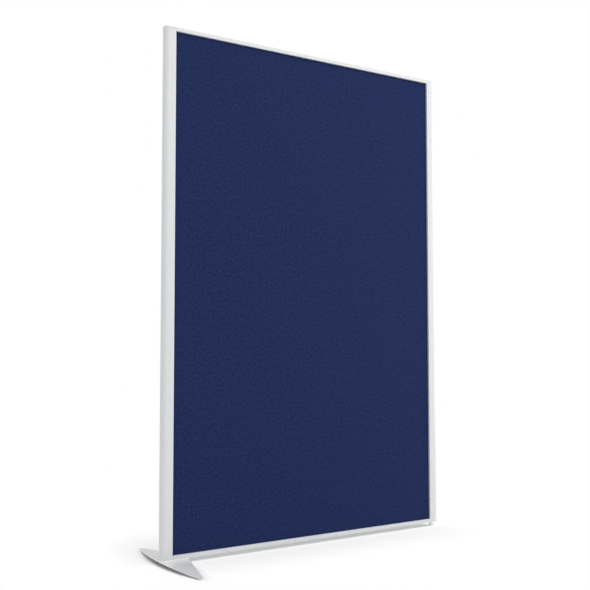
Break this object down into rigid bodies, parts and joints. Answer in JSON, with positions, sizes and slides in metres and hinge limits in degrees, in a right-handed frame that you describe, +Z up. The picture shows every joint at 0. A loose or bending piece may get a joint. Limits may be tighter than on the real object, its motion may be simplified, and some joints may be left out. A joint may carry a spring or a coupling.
{
  "type": "acoustic divider screen",
  "caption": "Free-standing acoustic divider screen: fabric panel in a slim metal frame, carried by a boat-shaped foot plate at one end and a levelling glide at the other.",
  "frame": {"origin": "middle of the whole screen's box, on the floor", "axes": "+X along the screen from the foot's end to the glide's end, +Y from front to back, +Z up"},
  "size_m": [1.2056, 0.47, 1.8],
  "materials": {
    "frame_aluminium": "satin silver anodised aluminium extrusion",
    "cap_plastic": "light grey moulded plastic",
    "bracket_casting": "rough die-cast metal",
    "screw_steel": "zinc-plated steel",
    "seal_rubber": "black foam rubber",
    "core_wood": "dense fibre board",
    "felt": "grey needled felt",
    "screen_fabric": "navy blue woven acoustic fabric, stretched flat",
    "foot_coating": "silver powder coat on steel plate",
    "pad_rubber": "black anti-slip rubber",
    "glide_plastic": "light grey plastic"
  },
  "bodies": {
    "screen": {"left_post": "frame_aluminium", "right_post": "frame_aluminium", "top_rail": "frame_aluminium", "bottom_rail": "frame_aluminium", "left_post_cap": "cap_plastic", "right_post_cap": "cap_plastic", "top_left_bracket": "bracket_casting", "top_right_bracket": "bracket_casting", "bottom_left_bracket": "bracket_casting", "bottom_right_bracket": "bracket_casting", "post_screws": "screw_steel", "rail_screws": "screw_steel", "left_seal": "seal_rubber", "right_seal": "seal_rubber", "top_seal": "seal_rubber", "bottom_seal": "seal_rubber", "core_board": "core_wood", "front_felt": "felt", "rear_felt": "felt", "front_fabric": "screen_fabric", "rear_fabric": "screen_fabric", "foot_plate": "foot_coating", "front_foot_pad": "pad_rubber", "rear_foot_pad": "pad_rubber", "foot_bolt": "screw_steel", "foot_bolt_washer": "screw_steel", "tongue_bolt": "screw_steel", "tongue_bolt_washer": "screw_steel"},
    "glide_pad": {"glide_pad": "glide_plastic"},
    "glide_stem": {"glide_stem": "screw_steel"}
  },
  "joints": [
    {"name": "glide_height", "type": "slide", "parent": "screen", "child": "glide_pad", "axis": [0, 0, -1], "range_m": [-0.004, 0.008]},
    {"name": "stem_turn", "type": "hinge", "parent": "glide_pad", "child": "glide_stem", "pos_m": [0.57975, 0, 0.02], "axis": [0, 0, -1], "range_deg": [-1153, 2305]}
  ],
  "couplings": [
    {"joint": "stem_turn", "follows": "glide_height", "rad_per_m": 5026.5}
  ]
}
